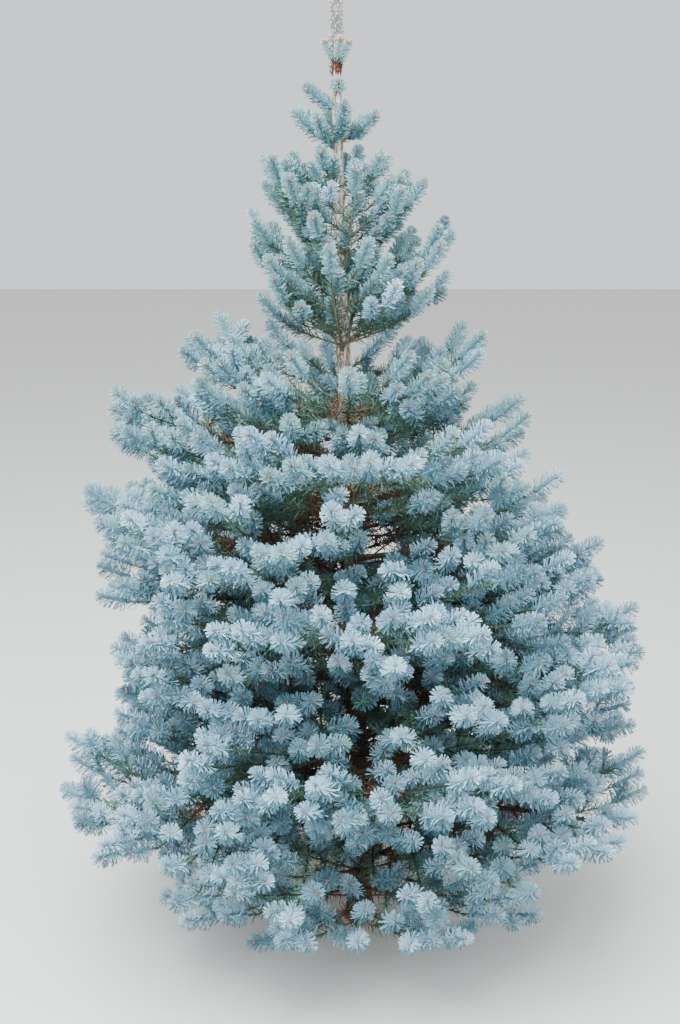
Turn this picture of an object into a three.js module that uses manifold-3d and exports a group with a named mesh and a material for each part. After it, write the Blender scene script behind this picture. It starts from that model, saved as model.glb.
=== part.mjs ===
// A dwarf subalpine fir, 1.85 m tall, rooted in level ground.
// Millimetres, +Z up. The origin is the middle of the flat cut under the trunk, and the tree's front faces -Y.
//
// The trunk runs up through the crown, and limbs leave it in whorls. In the lower crown each limb is a bare
// bough that ends where it enters its mass of foliage. In the upper crown the mass starts at the trunk.
// A mass is a fan of twigs that branch from one stem by a seeded rule, with sprays of needles along the twigs.

import * as THREE from "three";
import { mergeVertices } from "three/addons/utils/BufferGeometryUtils.js";
import Module from "manifold-3d";

// Trunk
const TREE_HEIGHT = 1850;
const TRUNK_TOP = 1700; // the leader shoot grows on from here
const TRUNK_LEAN = 50; // how far the tip of the tree stands to the left of its foot
const TRUNK_SWAY = 5; // the gentle double bend on the way up
const FOOT_RADIUS = 22;
const TOP_RADIUS = 4.5;
const FLARE = 15; // what the root flare adds at the ground
const FLARE_HEIGHT = 42;
const FLARE_LOBES = 5;
const TRUNK_SIDES = 12;
const RING_STEP = 100;
const COLLAR = 1.16; // the trunk is thicker by this share at a whorl
const COLLAR_HEIGHT = 18;

// Whorls of limbs, from the top down. height is where the limbs leave the trunk. azimuths are in degrees, with 0
// to the right of the photograph and 270 towards the camera. right and left are how far the limbs stretch from
// the trunk's axis on those sides, and lift is how much higher their tips are. spray is the size of their sprays
// of needles as a share of the full one. Limbs with a bough start as bare wood.
const WHORLS = [
  { height: 1652, azimuths: [184], right: 70, left: 70, lift: 30, spray: 0.5, bough: false },
  { height: 1592, azimuths: [12, 102, 192, 282], right: 82, left: 92, lift: 58, spray: 0.55, bough: false },
  { height: 1498, azimuths: [335, 65, 155, 245], right: 104, left: 112, lift: 66, spray: 0.62, bough: false },
  { height: 1300, azimuths: [8, 98, 188, 278], right: 122, left: 142, lift: 250, spray: 0.74, bough: false },
  { height: 1205, azimuths: [350, 80, 170, 260], right: 210, left: 172, lift: 205, spray: 0.85, bough: false },
  { height: 1055, azimuths: [3, 93, 183, 273], right: 268, left: 308, lift: 150, spray: 0.95, bough: false },
  { height: 925, azimuths: [24, 156, 270], right: 335, left: 465, lift: 130, spray: 1, bough: false },
  { height: 795, azimuths: [336, 204, 90], right: 425, left: 530, lift: 92, spray: 1, bough: true },
  { height: 670, azimuths: [22, 158, 270], right: 515, left: 530, lift: 84, spray: 1, bough: true },
  { height: 540, azimuths: [338, 202, 90], right: 555, left: 505, lift: 62, spray: 1, bough: true },
  { height: 400, azimuths: [24, 156, 270], right: 560, left: 485, lift: 60, spray: 1, bough: true },
  { height: 255, azimuths: [340, 200, 90], right: 585, left: 600, lift: 50, spray: 1, bough: true },
  { height: 125, azimuths: [28, 148, 268], right: 430, left: 490, lift: 50, spray: 1, bough: false },
];
const HEIGHT_JITTER = 14;
const TURN_JITTER = 6;
const REACH_JITTER = 0.04;
const ARCH = 0.055; // a low limb bows up by this share of its length, and a high one sags by a like share
const FAN_EDGE = 0.17; // the share by which a fan is shorter at its side edges than at its tip
const FAN_HALF_MOST = 62; // degrees
const FAN_CUP = 0.05; // how much the fan's sides rise, as a share of its length

// Limbs and twigs
const BOUGH_SHARE = 0.22; // the share of the length at which a bough enters its mass
const LIMB_RADIUS_SHARE = 0.014; // a limb's radius at the trunk, as a share of its length
const LIMB_RADIUS_LEAST = 2.6;
const TIP_SHARE = 0.35; // the limb's radius at its tip, as a share of that at the trunk
const BOUGH_COLLAR = 0.3;
const BOUGH_COLLAR_LENGTH = 22;
const LIMB_SIDES = 6;
const TWIG_SIDES = 3;
const SEAT_GAP = 0.3; // between a limb and the trunk, and between a bough and its mass
const NODE_STEP = 112; // between the pairs of side twigs on a stem
const FIRST_NODE = 10; // from the start of the mass to its first pair
const DIVERGENCE_FIRST = 66; // degrees between a stem and its first side twigs
const DIVERGENCE_LAST = 40; // and its last ones
const DIVERGENCE_JITTER = 6;
const TWIG_BEND = 14; // degrees by which a side twig turns back towards the stem's heading
const TWIG_LEAST = 52;
const EDGE_STEP = 6; // how finely the way to the fan's edge is walked

// Sprays of needles
const SPRAY_LENGTH = 100;
const SPRAY_RADIUS = 40;
const SPRAY_CORE = 0.4; // the slim core's radius, as a share of the spray's
const SPRAY_WAIST = 0.38; // where the core is widest, as a share of the length
const SPRAY_TIPS = 0.66; // where the needles end
const SPRAY_SINK = 2; // how deep a spray's root sits in its twig
const TWIG_SPRAY_STEP = 92; // between the sprays along a side twig
const STEM_SPRAY_STEP = 98; // and along a stem
const SIDE_SPRAY = 0.9; // the size of the sprays along a twig, as a share of the one at its end
const TWIG_SPLAY = 54; // degrees between a side twig and the sprays along it
const TWIG_RISE = 22; // degrees by which those point upwards
const STEM_SPLAY = 32;
const STEM_RISE = 44;
const END_RISE = 8; // and for the sprays at the ends of twigs
const SPRAY_APART = 50; // between the middles of two sprays of one mass
const SPACE_GAP = 2; // between anything of one node and anything of another
const GROUND_GAP = 12; // the lowest sprays stay this far off the ground

const BARK = new THREE.MeshStandardMaterial({ color: 0x6a5850, roughness: 0.92, metalness: 0 });
const BOUGH_BARK = new THREE.MeshStandardMaterial({ color: 0x5d4b40, roughness: 0.9, metalness: 0 });
const NEEDLES = new THREE.MeshStandardMaterial({ color: 0x8fb0b8, roughness: 0.65, metalness: 0 });

const wasm = await Module();
wasm.setup();

const radians = THREE.MathUtils.degToRad;
const UP = new THREE.Vector3(0, 0, 1);

// Repeatable numbers from 0 to 1, by the multiplicative rule of Lehmer.
const LEHMER_MODULUS = 2147483647;
const LEHMER_FACTOR = 48271;

function seeded(seed) {
  let state = seed;
  const next = () => {
    state = (state * LEHMER_FACTOR) % LEHMER_MODULUS;
    return state / LEHMER_MODULUS;
  };
  next();
  next();
  return { next, around: (spread) => (2 * next() - 1) * spread };
}

// Trunk axis and girth

function trunkAxis(z) {
  const share = z / TREE_HEIGHT;
  const sway = TRUNK_SWAY * Math.sin(2 * Math.PI * share);
  return new THREE.Vector3(-TRUNK_LEAN * share + sway, 0.6 * sway * share, z);
}

function trunkRadius(z) {
  const collars = WHORLS.map((w) => Math.exp(-(((z - w.height) / COLLAR_HEIGHT) ** 2)));
  const collar = 1 + (COLLAR - 1) * Math.max(...collars);
  return (TOP_RADIUS + (FOOT_RADIUS - TOP_RADIUS) * (1 - z / TREE_HEIGHT)) * collar;
}

// Solids

function solidOf(geometry) {
  const bare = geometry.clone();
  for (const name of ["normal", "uv"]) bare.deleteAttribute(name);
  const merged = mergeVertices(bare, 1e-4);
  const mesh = new wasm.Mesh({
    numProp: 3,
    vertProperties: new Float32Array(merged.attributes.position.array),
    triVerts: new Uint32Array(merged.index.array),
  });
  return new wasm.Manifold(mesh);
}

function union(solids) {
  return wasm.Manifold.union(solids);
}

// The largest body of a solid; what a cut has left loose beside it is dropped.
function wholeBody(solid) {
  const bodies = solid.decompose();
  return bodies.reduce((best, body) => (body.volume() > best.volume() ? body : best));
}

function geometryOf(solid) {
  const mesh = solid.getMesh();
  const geometry = new THREE.BufferGeometry();
  geometry.setAttribute("position", new THREE.BufferAttribute(mesh.vertProperties, 3));
  geometry.setIndex(new THREE.BufferAttribute(mesh.triVerts, 1));
  geometry.computeVertexNormals();
  return geometry;
}

// Bends an upright cylinder along a path, with a radius that follows the share of the way and the angle round it.
// Its rings stand square to the path, or level.
function limbGeometry(pointAt, radiusAt, sides, rings, reference, level = false) {
  const geometry = new THREE.CylinderGeometry(1, 1, 1, sides, rings);
  const place = geometry.attributes.position;
  const step = 1e-3;
  for (let i = 0; i < place.count; i++) {
    const [x, y, z] = [place.getX(i), place.getY(i), place.getZ(i)];
    const share = y + 0.5;
    const ahead = pointAt(Math.min(share + step, 1)).sub(pointAt(Math.max(share - step, 0)));
    const tangent = level ? UP : ahead.normalize();
    const normal = new THREE.Vector3().crossVectors(reference, tangent).normalize();
    const side = new THREE.Vector3().crossVectors(tangent, normal);
    const radius = radiusAt(share, Math.atan2(z, x));
    const point = pointAt(share).addScaledVector(side, x * radius).addScaledVector(normal, z * radius);
    place.setXYZ(i, point.x, point.y, point.z);
  }
  return geometry;
}

// The trunk, or with a gap the shape that the limbs are cut back from.
function trunkGeometry(grown = 0) {
  const rings = Math.round(TRUNK_TOP / RING_STEP);
  const heightAt = (share) => TRUNK_TOP * share;
  const pointAt = (share) => {
    const point = trunkAxis(heightAt(share));
    point.z += (2 * share - 1) * grown;
    return point;
  };
  const radiusAt = (share, angle) => {
    const z = heightAt(share);
    const lobes = 0.75 + 0.25 * Math.cos(FLARE_LOBES * angle + 0.8);
    return trunkRadius(z) + FLARE * lobes * Math.exp(-z / FLARE_HEIGHT) + grown;
  };
  return limbGeometry(pointAt, radiusAt, TRUNK_SIDES, rings, new THREE.Vector3(0, 1, 0), true);
}

// A spray of needles is a slim three-edged core, and out of each of its faces a needle stands and points
// forwards. Without the core it is a dart whose edges are its three needles.
function sprayGeometry(root, direction, length, radius, spin, core) {
  const turn = new THREE.Quaternion().setFromUnitVectors(UP, direction);
  const point = (angle, share, away) => {
    const [x, y] = [Math.cos(angle + spin) * away * radius, Math.sin(angle + spin) * away * radius];
    return new THREE.Vector3(x, y, share * length).applyQuaternion(turn).add(root);
  };
  const sides = [0, 1, 2];
  const cores = sides.map((i) => point((i * 2 * Math.PI) / 3, SPRAY_WAIST, SPRAY_CORE));
  const needles = sides.map((i) => point(((i + 0.5) * 2 * Math.PI) / 3, SPRAY_TIPS, 1));
  const tip = point(0, 1, 0);
  const corners = [];
  for (const i of sides) {
    const j = (i + 1) % 3;
    if (core) {
      corners.push(root, cores[j], cores[i], cores[i], cores[j], needles[i]);
      corners.push(cores[i], needles[i], tip, needles[i], cores[j], tip);
    } else {
      corners.push(root, needles[j], needles[i], needles[i], needles[j], tip);
    }
  }
  return new THREE.BufferGeometry().setFromPoints(corners);
}

// Limbs and their fans. A fan lies in the plane of its limb's chord and the level line across it. Its first
// coordinate runs out along the chord and its second one across it.

function makeLimb(whorl, level, index) {
  const random = seeded(1009 + 131 * level + 17 * index);
  const azimuth = radians(whorl.azimuths[index] + random.around(TURN_JITTER));
  const middle = (whorl.right + whorl.left) / 2;
  const aside = (whorl.right - whorl.left) / 2;
  const reach = (middle + aside * Math.cos(azimuth)) * (1 + random.around(REACH_JITTER));
  const height = whorl.height + random.around(HEIGHT_JITTER);
  const pitch = Math.atan2(whorl.lift, reach);
  const length = Math.hypot(whorl.lift, reach);
  const [c, s] = [Math.cos(azimuth), Math.sin(azimuth)];
  const out = new THREE.Vector3(c * Math.cos(pitch), s * Math.cos(pitch), Math.sin(pitch));
  const across = new THREE.Vector3(-s, c, 0);
  return {
    whorl,
    level,
    index,
    random,
    length,
    out,
    across,
    above: new THREE.Vector3().crossVectors(out, across),
    foot: trunkAxis(height),
    half: radians(Math.min(FAN_HALF_MOST, 200 / whorl.azimuths.length)),
    radius: Math.max(LIMB_RADIUS_LEAST, length * LIMB_RADIUS_SHARE),
    start: whorl.bough ? length * BOUGH_SHARE : 0,
    spray: whorl.spray,
  };
}

function fanPoint(limb, a, b) {
  const share = a / limb.length;
  const bow = ARCH * limb.length * (1 - (2 * limb.whorl.height) / TREE_HEIGHT);
  const rise = 4 * bow * share * Math.max(0, 1 - share) + (FAN_CUP * b * b) / limb.length;
  const point = limb.foot.clone().addScaledVector(limb.out, a);
  return point.addScaledVector(limb.across, b).addScaledVector(limb.above, rise);
}

// A twig is a shallow parabola in the fan.
function twigPlace(twig, s) {
  const aside = (twig.bend * s * s) / (2 * twig.most);
  const [c, d] = [Math.cos(twig.heading), Math.sin(twig.heading)];
  return [twig.a + c * s - d * aside, twig.b + d * s + c * aside];
}

function twigPoint(limb, twig, s) {
  return fanPoint(limb, ...twigPlace(twig, s));
}

function twigDirection(limb, twig, s) {
  return twigPoint(limb, twig, s + 1).sub(twigPoint(limb, twig, s - 1)).normalize();
}

// How long a side twig may grow before the spray at its end would pass the fan's outline.
function lengthToEdge(limb, twig) {
  let length = 0;
  for (let s = EDGE_STEP; s <= twig.most; s += EDGE_STEP) {
    const [a, b] = twigPlace(twig, s);
    const turned = Math.atan2(b, a) / limb.half;
    const edge = limb.length * (1 - FAN_EDGE * turned * turned) - 0.8 * SPRAY_LENGTH * limb.spray;
    if (Math.abs(turned) > 1 || Math.hypot(a, b) > edge) break;
    length = s;
  }
  return length;
}

function growFan(limb) {
  const end = Math.max(limb.length - SPRAY_LENGTH * limb.spray, 20);
  const thinning = (1 - TIP_SHARE) / limb.length;
  const stem = {
    a: limb.start,
    b: 0,
    heading: 0,
    bend: 0,
    length: end - limb.start,
    most: end - limb.start,
    radius: limb.radius * (1 - thinning * limb.start),
    tip: limb.radius * (1 - thinning * end),
    side: 1,
  };
  const twigs = [];
  const clear = Math.max(limb.start, 1.6 * trunkRadius(limb.whorl.height)) + FIRST_NODE;
  for (let a = clear; a < end - 12; a += NODE_STEP * limb.spray) {
    const share = a / limb.length;
    for (const side of [1, -1]) {
      const divergence = DIVERGENCE_FIRST + (DIVERGENCE_LAST - DIVERGENCE_FIRST) * share;
      const heading = side * radians(divergence + limb.random.around(DIVERGENCE_JITTER));
      const radius = limb.radius * (1 - thinning * a) * 0.62;
      const bend = -side * radians(TWIG_BEND);
      const most = 0.8 * limb.length;
      const twig = { a, b: 0, heading, bend, most, radius, tip: radius * 0.6, side };
      twig.length = lengthToEdge(limb, twig);
      if (twig.length >= TWIG_LEAST * limb.spray) twigs.push(twig);
    }
  }
  return { stem, twigs };
}

// Who is where: every limb, twig and spray is kept as straight rods with a thickness, and a new twig or spray
// is skipped where a rod of it would come near a rod of another node.

const rods = [];

function rodDistance(p, q) {
  const [d, e, r] = [p.end.clone().sub(p.start), q.end.clone().sub(q.start), p.start.clone().sub(q.start)];
  const [a, f, b, c, g] = [d.dot(d), e.dot(e), d.dot(e), d.dot(r), e.dot(r)];
  const crossing = a * f - b * b;
  const clamp = (value) => Math.min(1, Math.max(0, value));
  let s = crossing > 1e-6 ? clamp((b * g - c * f) / crossing) : 0;
  const t = clamp((b * s + g) / f);
  s = clamp((b * t - c) / a);
  return p.start.clone().addScaledVector(d, s).distanceTo(q.start.clone().addScaledVector(e, t));
}

// Whether every part is clear of the ground and of the rods of other nodes, except the bough that it is seated
// on, and the head of a spray far enough from the other heads of its own mass.
function isFree(parts, owner, seat, apart = 0) {
  return parts.every((part) => {
    const low = Math.min(part.start.z, part.end.z) - part.radius;
    if (low < GROUND_GAP) return false;
    return rods.every((rod) => {
      if (rod.owner === seat) return true;
      if (rod.owner === owner) return !part.head || !rod.head || rodDistance(part, rod) > apart;
      return rodDistance(part, rod) > part.radius + rod.radius + SPACE_GAP;
    });
  });
}

function keep(parts, owner) {
  for (const part of parts) rods.push({ ...part, owner });
}

function twigRods(limb, twig, from) {
  const pieces = Math.max(1, Math.round(twig.length / 80));
  return Array.from({ length: pieces }, (_, i) => ({
    start: twigPoint(limb, twig, from + ((twig.length - from) * i) / pieces),
    end: twigPoint(limb, twig, from + ((twig.length - from) * (i + 1)) / pieces),
    radius: Math.max(twig.radius, twig.tip) + 1,
  }));
}

function sprayRods(root, direction, length, radius) {
  const point = (share) => root.clone().addScaledVector(direction, share * length);
  return [
    { start: point(0), end: point(0.35), radius: 0.5 * radius },
    { start: point(0.35), end: point(0.9), radius, head: true },
  ];
}

// Foliage

function axisSolid(limb, twig, from, sides, rings) {
  const pointAt = (share) => twigPoint(limb, twig, from + (twig.length - from) * share);
  const radiusAt = (share) => twig.radius + (twig.tip - twig.radius) * share;
  return solidOf(limbGeometry(pointAt, radiusAt, sides, rings, UP));
}

// Turns a twig's heading aside within its fan and then upwards.
function sprayDirection(limb, twig, s, aside, rise) {
  const forward = twigDirection(limb, twig, s);
  const turned = forward.applyAxisAngle(limb.above, radians(aside)).multiplyScalar(Math.cos(radians(rise)));
  return turned.addScaledVector(UP, Math.sin(radians(rise))).normalize();
}

// Where the sprays of a mass go: at the ends of its twigs, and along them.
function sprayPlaces(mass) {
  const { stem, twigs, random } = mass;
  const all = [stem, ...twigs];
  mass.ends = all.map((twig) => ({
    twig,
    s: twig.length - 2,
    aside: random.around(5),
    rise: END_RISE + random.around(5),
    size: 1,
  }));
  mass.sides = all.flatMap((twig) => {
    const step = (twig === stem ? STEM_SPRAY_STEP : TWIG_SPRAY_STEP) * mass.limb.spray;
    const [splay, rise] = twig === stem ? [STEM_SPLAY, STEM_RISE] : [TWIG_SPLAY, TWIG_RISE];
    const count = Math.max(0, Math.ceil((twig.length - 1.05 * step) / step));
    return Array.from({ length: count }, (_, i) => ({
      twig,
      s: twig.length - (0.7 + i) * step,
      aside: (i % 2 === 0 ? 1 : -1) * twig.side * splay + random.around(8),
      rise: rise + random.around(7),
      size: SIDE_SPRAY,
    }));
  });
}

function growSpray(mass, place) {
  const { limb, name, seat } = mass;
  const direction = sprayDirection(limb, place.twig, place.s, place.aside, place.rise);
  const root = twigPoint(limb, place.twig, place.s).addScaledVector(direction, -SPRAY_SINK);
  const size = place.size * limb.spray;
  const [length, radius] = [SPRAY_LENGTH * size + SPRAY_SINK, SPRAY_RADIUS * size];
  const spin = mass.random.next() * Math.PI;
  const core = place.size === 1;
  const parts = sprayRods(root, direction, length, radius);
  const apart = SPRAY_APART * limb.spray;
  const [neck, head] = parts;
  if (!isFree([head], name, null, apart) || !isFree([neck], name, seat)) return;
  keep(parts, name);
  mass.solids.push(solidOf(sprayGeometry(root, direction, length, radius, spin, core)));
}

function boughSolid(limb) {
  const pointAt = (share) => fanPoint(limb, limb.start * share, 0);
  const radiusAt = (share) => {
    const collar = 1 + BOUGH_COLLAR * Math.exp(-(share * limb.start) / BOUGH_COLLAR_LENGTH);
    return limb.radius * (1 - ((1 - TIP_SHARE) * share * limb.start) / limb.length) * collar;
  };
  return solidOf(limbGeometry(pointAt, radiusAt, LIMB_SIDES, 2, UP));
}

// The leader: the shoot that carries the trunk on upwards, with a ring of upright shoots at its foot.
const LEADER_NAME = "leader_shoots";
const LEADER_BRUSHES = 3; // short tiers of needles and buds up the leader
const LEADER_RADIUS = 15;
const LEADER_SHOOTS = 4;
const LEADER_SHOOT_LENGTH = 66;
const LEADER_SHOOT_RADIUS = 12;
const LEADER_SHOOT_PITCH = 64; // degrees above the level
const LEADER_SHOOT_TURN = 195; // azimuth of the first of them

function leaderSolid() {
  const foot = TRUNK_TOP + SEAT_GAP;
  const top = TREE_HEIGHT - 40;
  const pointAt = (share) => trunkAxis(foot + (top - foot) * share);
  const radiusAt = (share) => trunkRadius(TRUNK_TOP) * (1 - 0.6 * share);
  const solids = [solidOf(limbGeometry(pointAt, radiusAt, LIMB_SIDES, 1, new THREE.Vector3(0, 1, 0), true))];
  const add = (root, direction, length, radius, spin) => {
    keep(sprayRods(root, direction, length, radius), LEADER_NAME);
    solids.push(solidOf(sprayGeometry(root, direction, length, radius, spin, true)));
  };
  const lean = trunkAxis(TREE_HEIGHT).sub(trunkAxis(TRUNK_TOP)).normalize();
  const first = foot + 38;
  const tier = (top - first) / LEADER_BRUSHES;
  for (let i = 0; i < LEADER_BRUSHES; i++) {
    const low = first + tier * i;
    const high = i === LEADER_BRUSHES - 1 ? TREE_HEIGHT : low + 2 * tier;
    add(trunkAxis(low), lean, high - low, LEADER_RADIUS, 0.5 * i);
  }
  for (let i = 0; i < LEADER_SHOOTS; i++) {
    const azimuth = radians(LEADER_SHOOT_TURN + (360 / LEADER_SHOOTS) * i);
    const pitch = radians(LEADER_SHOOT_PITCH);
    const level = new THREE.Vector3(Math.cos(azimuth), Math.sin(azimuth), 0);
    const direction = level.multiplyScalar(Math.cos(pitch)).addScaledVector(UP, Math.sin(pitch));
    add(trunkAxis(foot + 12 + 5 * (i % 2)), direction, LEADER_SHOOT_LENGTH, LEADER_SHOOT_RADIUS, 0.4 * i);
  }
  return union(solids);
}

// The tree

const tree = new THREE.Group();

function addNode(name, solid, material) {
  const mesh = new THREE.Mesh(geometryOf(wholeBody(solid)), material);
  mesh.name = name;
  tree.add(mesh);
}

const letters = "abcd";
const masses = [];
WHORLS.forEach((whorl, level) => {
  for (let index = 0; index < whorl.azimuths.length; index++) {
    const limb = makeLimb(whorl, level, index);
    const place = `whorl${String(level + 1).padStart(2, "0")}${letters[index]}`;
    masses.push({
      limb,
      random: seeded(7919 + 97 * level + 13 * index),
      name: `foliage_${place}`,
      seat: `bough_${place}`,
      solids: [],
      ...growFan(limb),
    });
  }
});

const grownTrunk = solidOf(trunkGeometry(SEAT_GAP));
addNode("trunk", solidOf(trunkGeometry()), BARK);
for (let z = 0; z < TRUNK_TOP; z += RING_STEP) {
  const high = Math.min(z + RING_STEP, TRUNK_TOP);
  const radius = trunkRadius(z) * COLLAR + FLARE * Math.exp(-z / FLARE_HEIGHT);
  keep([{ start: trunkAxis(z), end: trunkAxis(high), radius }], "trunk");
}
addNode(LEADER_NAME, leaderSolid(), NEEDLES);

for (const { limb, name, seat, stem } of masses) {
  if (limb.whorl.bough) {
    const radius = limb.radius * (1 + BOUGH_COLLAR);
    keep([{ start: limb.foot, end: fanPoint(limb, limb.start, 0), radius }], seat);
    addNode(seat, boughSolid(limb).subtract(grownTrunk), BOUGH_BARK);
  }
  keep(twigRods(limb, stem, 0), name);
}
for (const mass of masses) {
  const { limb, stem, name, seat } = mass;
  const from = limb.whorl.bough ? SEAT_GAP : 0;
  const rings = Math.max(1, Math.round(stem.length / 140));
  mass.solids.push(axisSolid(limb, stem, from, limb.whorl.bough ? 4 : TWIG_SIDES, rings));
  mass.twigs = mass.twigs.filter((twig) => {
    const parts = twigRods(limb, twig, 0);
    if (!isFree(parts, name, seat)) return false;
    keep(parts, name);
    mass.solids.push(axisSolid(limb, twig, 0, TWIG_SIDES, 1));
    return true;
  });
  sprayPlaces(mass);
}
for (const mass of masses) {
  for (const place of mass.ends) growSpray(mass, place);
}
for (const mass of masses) {
  for (const place of mass.sides) growSpray(mass, place);
}
for (const { limb, name, solids } of masses) {
  const solid = union(solids);
  addNode(name, limb.whorl.bough ? solid : solid.subtract(grownTrunk), NEEDLES);
}

export default tree;
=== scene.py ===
# %% [markdown]
# # A dwarf subalpine fir
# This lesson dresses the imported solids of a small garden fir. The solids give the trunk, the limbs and
# fans of twigs with coarse sprays. Here the same growing rule is carried on to fine twigs, needles and
# buds.

# %% The frame
import math

import bmesh
import bpy
import numpy as np
from mathutils import Matrix, Vector, noise


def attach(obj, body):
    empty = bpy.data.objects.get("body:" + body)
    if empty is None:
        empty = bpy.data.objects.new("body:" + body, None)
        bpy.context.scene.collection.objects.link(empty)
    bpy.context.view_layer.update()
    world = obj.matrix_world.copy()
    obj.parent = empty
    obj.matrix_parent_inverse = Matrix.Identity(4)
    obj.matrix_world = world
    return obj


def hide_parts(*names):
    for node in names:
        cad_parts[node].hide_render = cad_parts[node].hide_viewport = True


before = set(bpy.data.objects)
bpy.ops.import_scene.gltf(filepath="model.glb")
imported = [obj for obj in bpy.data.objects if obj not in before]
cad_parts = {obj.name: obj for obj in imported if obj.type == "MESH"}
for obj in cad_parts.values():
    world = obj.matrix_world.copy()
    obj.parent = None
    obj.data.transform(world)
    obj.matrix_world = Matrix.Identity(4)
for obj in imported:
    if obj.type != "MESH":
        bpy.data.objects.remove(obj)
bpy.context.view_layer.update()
foliage_nodes = sorted(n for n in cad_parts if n.startswith("foliage") or n == "leader_shoots")
bough_nodes = sorted(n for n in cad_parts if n.startswith("bough"))
print("nodes:", len(foliage_nodes), "of foliage and", len(bough_nodes), "boughs")

# %% [markdown]
# ## Camera
# The photographer stood 2.7 m away and looked down on the tree a little, with a lens of about 50 mm. The
# camera is set to that place first, so that every render can be laid beside the photograph.

# %% Camera
CAMERA_PLACE = (-0.043, -2.725, 1.58)
CAMERA_TILT = 14.3  # degrees below the level

camera_data = bpy.data.cameras.new("camera")
camera_data.lens = 50
camera_data.sensor_width = 36
camera = bpy.data.objects.new("camera", camera_data)
camera.location = CAMERA_PLACE
camera.rotation_euler = (math.radians(90 - CAMERA_TILT), 0, 0)
bpy.context.scene.collection.objects.link(camera)
bpy.context.scene.camera = camera
print("camera", [round(v, 3) for v in camera.location])

# %% [markdown]
# ## Numbers that repeat
# A living thing needs irregular sizes, but the same ones on every run. Lehmer's rule gives such numbers
# from a seed, in Python and in the language of the solids alike, so both grow the same limbs.

# %% Seeded numbers
LEHMER_MODULUS = 2147483647
LEHMER_FACTOR = 48271


class Seeded:
    def __init__(self, seed):
        self.state = seed
        self.next()
        self.next()

    def next(self):
        self.state = self.state * LEHMER_FACTOR % LEHMER_MODULUS
        return self.state / LEHMER_MODULUS

    def around(self, spread):
        return (2 * self.next() - 1) * spread


chance = np.random.default_rng(20231)  # for what the solids don't have
UP = np.array([0.0, 0.0, 1.0])


def unit(v):
    return v / np.linalg.norm(v)


def turned(v, axis, degrees):
    """v turned about a unit axis."""
    c, s = math.cos(math.radians(degrees)), math.sin(math.radians(degrees))
    return v * c + np.cross(axis, v) * s + axis * (axis @ v) * (1 - c)


# %% [markdown]
# ## Trunk, in numbers
# The trunk leans a little to the left, sways gently and tapers from a flared foot to a thin leader.
# Lengths in this lesson are in millimetres until a mesh is made.

# %% Trunk sizes
TREE_HEIGHT = 1850
TRUNK_TOP = 1700
TRUNK_LEAN = 50
TRUNK_SWAY = 5
FOOT_RADIUS = 22
TOP_RADIUS = 4.5
FLARE = 15
FLARE_HEIGHT = 42
FLARE_LOBES = 5
COLLAR = 1.16
COLLAR_HEIGHT = 18


def trunk_axis(z):
    share = np.asarray(z, float) / TREE_HEIGHT
    sway = TRUNK_SWAY * np.sin(2 * np.pi * share)
    return np.stack([-TRUNK_LEAN * share + sway, 0.6 * sway * share, share * TREE_HEIGHT], axis=-1)


# %% [markdown]
# ## Whorls and limbs
# A fir makes one ring of side limbs a year, so its crown is a stack of shelves. The table gives each
# ring's height, the azimuths of its limbs, how far they stretch to the right and to the left, how much
# their tips rise and how large their sprays are.

# %% Whorls
WHORL_FACTS = "height", "azimuths", "right", "left", "lift", "spray", "bough"
WHORLS = [
    dict(zip(WHORL_FACTS, facts))
    for facts in [
        (1652, [184], 70, 70, 30, 0.5, False),
        (1592, [12, 102, 192, 282], 82, 92, 58, 0.55, False),
        (1498, [335, 65, 155, 245], 104, 112, 66, 0.62, False),
        (1300, [8, 98, 188, 278], 122, 142, 250, 0.74, False),
        (1205, [350, 80, 170, 260], 210, 172, 205, 0.85, False),
        (1055, [3, 93, 183, 273], 268, 308, 150, 0.95, False),
        (925, [24, 156, 270], 335, 465, 130, 1, False),
        (795, [336, 204, 90], 425, 530, 92, 1, True),
        (670, [22, 158, 270], 515, 530, 84, 1, True),
        (540, [338, 202, 90], 555, 505, 62, 1, True),
        (400, [24, 156, 270], 560, 485, 60, 1, True),
        (255, [340, 200, 90], 585, 600, 50, 1, True),
        (125, [28, 148, 268], 430, 490, 50, 1, False),
    ]
]
HEIGHT_JITTER = 14
TURN_JITTER = 6
REACH_JITTER = 0.04
ARCH = 0.055
FAN_EDGE = 0.17
FAN_HALF_MOST = 62
FAN_DEGREES = 200  # shared out among a whorl's fans
FAN_CUP = 0.05
BOUGH_SHARE = 0.22
LIMB_RADIUS_SHARE = 0.014
LIMB_RADIUS_LEAST = 2.6
TIP_SHARE = 0.35


def trunk_radius(z):
    z = np.asarray(z, float)
    collars = np.max([np.exp(-(((z - w["height"]) / COLLAR_HEIGHT) ** 2)) for w in WHORLS], axis=0)
    taper = TOP_RADIUS + (FOOT_RADIUS - TOP_RADIUS) * (1 - z / TREE_HEIGHT)
    return taper * (1 + (COLLAR - 1) * collars)


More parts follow.
